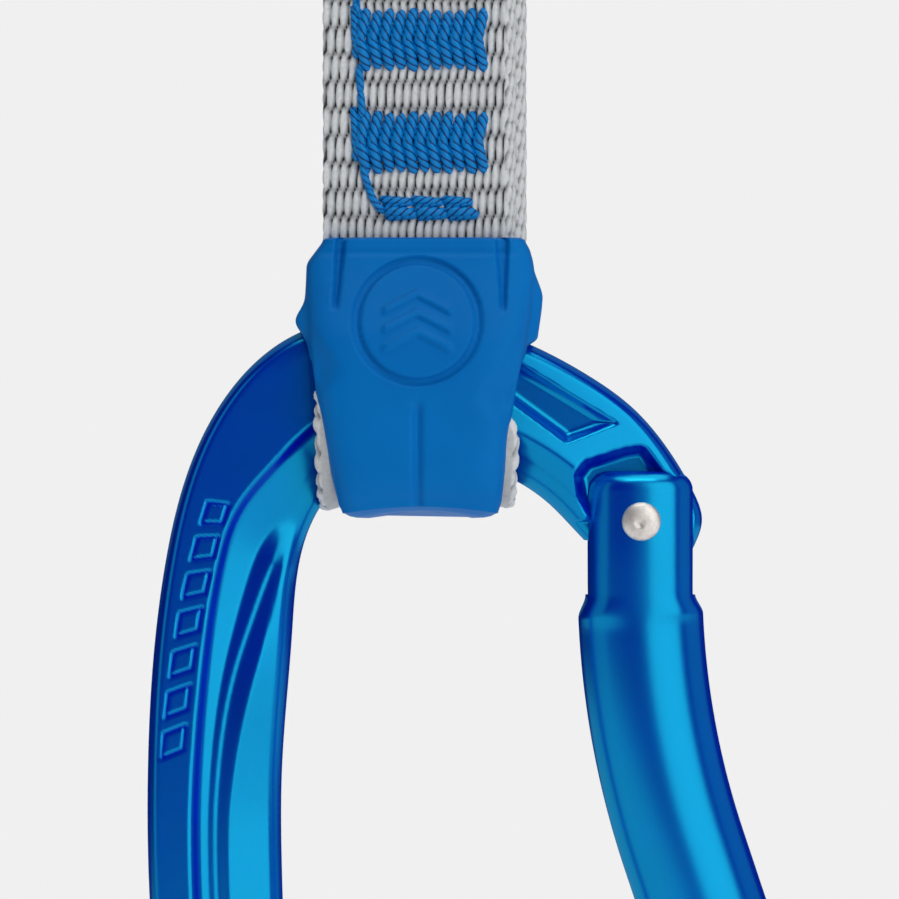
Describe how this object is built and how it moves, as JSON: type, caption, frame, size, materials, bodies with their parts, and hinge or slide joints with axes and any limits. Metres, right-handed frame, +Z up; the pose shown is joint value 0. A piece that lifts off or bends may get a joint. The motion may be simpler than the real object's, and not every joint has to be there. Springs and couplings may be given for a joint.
{
  "type": "climbing quickdraw",
  "caption": "Climbing quickdraw: a sewn webbing sling with a straight-gate carabiner at the bolt end and a bent-gate carabiner, held by a rubber keeper, at the rope end.",
  "frame": {"origin": "the point of the bolt-end carabiner's basket that hangs on the bolt hanger, at the middle of its thickness", "axes": "+Z up along the hanging sling, +X towards the gates, -Y is the front"},
  "size_m": [0.0656, 0.0236, 0.2851],
  "materials": {
    "rope_body": "blue anodised, satin",
    "rope_gate": "blue anodised, satin",
    "bolt_body": "grey anodised, satin",
    "bolt_gate": "grey anodised, satin",
    "rivet": "satin",
    "steel": "drawn",
    "webbing": "woven, light grey",
    "thread": "twisted sewing thread, blue",
    "keeper": "moulded, matte"
  },
  "bodies": {
    "bolt_carabiner": {"bolt_carabiner_body": "bolt_body"},
    "bolt_gate": {"bolt_gate": "bolt_gate", "bolt_gate_rivet": "rivet", "bolt_gate_spring": "steel"},
    "bolt_plunger": {"bolt_gate_plunger": "steel"},
    "sling": {"sling_webbing": "webbing", "stitch_bar_2": "thread", "stitch_bar_3": "thread", "stitch_bar_4": "thread", "stitch_bar_5": "thread", "stitch_end_upper": "thread", "stitch_line_upper": "thread"},
    "rope_end": {"rope_loop_webbing": "webbing", "keeper": "keeper", "rope_carabiner_body": "rope_body", "stitch_bar_1": "thread", "stitch_end_lower": "thread", "stitch_line_lower": "thread"},
    "rope_gate": {"rope_gate": "rope_gate", "rope_gate_rivet": "rivet", "rope_gate_spring": "steel"},
    "rope_plunger": {"rope_gate_plunger": "steel"}
  },
  "joints": [
    {"name": "bolt_gate_hinge", "type": "hinge", "parent": "bolt_carabiner", "child": "bolt_gate", "pos_m": [0.0219, 0, -0.0674], "axis": [0, -1, 0], "range_deg": [0, 28], "stiffness_Nm_per_rad": 0.3, "springref_deg": -28.65},
    {"name": "bolt_plunger_slide", "type": "slide", "parent": "bolt_gate", "child": "bolt_plunger", "axis": [0.1886, 0, 0.9821], "range_m": [0, 0.001], "deforming": ["bolt_gate_spring"]},
    {"name": "bolt_swing", "type": "hinge", "parent": "bolt_carabiner", "child": "sling", "pos_m": [0, 0, -0.0796], "axis": [1, 0, 0], "range_deg": [-90, 90]},
    {"name": "sling_flex", "type": "hinge", "parent": "sling", "child": "rope_end", "pos_m": [0, 0, -0.15025], "axis": [1, 0, 0], "range_deg": [-40, 40]},
    {"name": "rope_gate_hinge", "type": "hinge", "parent": "rope_end", "child": "rope_gate", "pos_m": [0.0219, 0, -0.1931], "axis": [0, 1, 0], "range_deg": [0, 28], "stiffness_Nm_per_rad": 0.3, "springref_deg": -28.65},
    {"name": "rope_plunger_slide", "type": "slide", "parent": "rope_gate", "child": "rope_plunger", "axis": [0, 0, -1], "range_m": [0, 0.001], "deforming": ["rope_gate_spring"]}
  ],
  "couplings": [
    {"joint": "bolt_plunger_slide", "follows": "bolt_gate_hinge", "m_per_rad": 0.002},
    {"joint": "rope_plunger_slide", "follows": "rope_gate_hinge", "m_per_rad": 0.002}
  ]
}
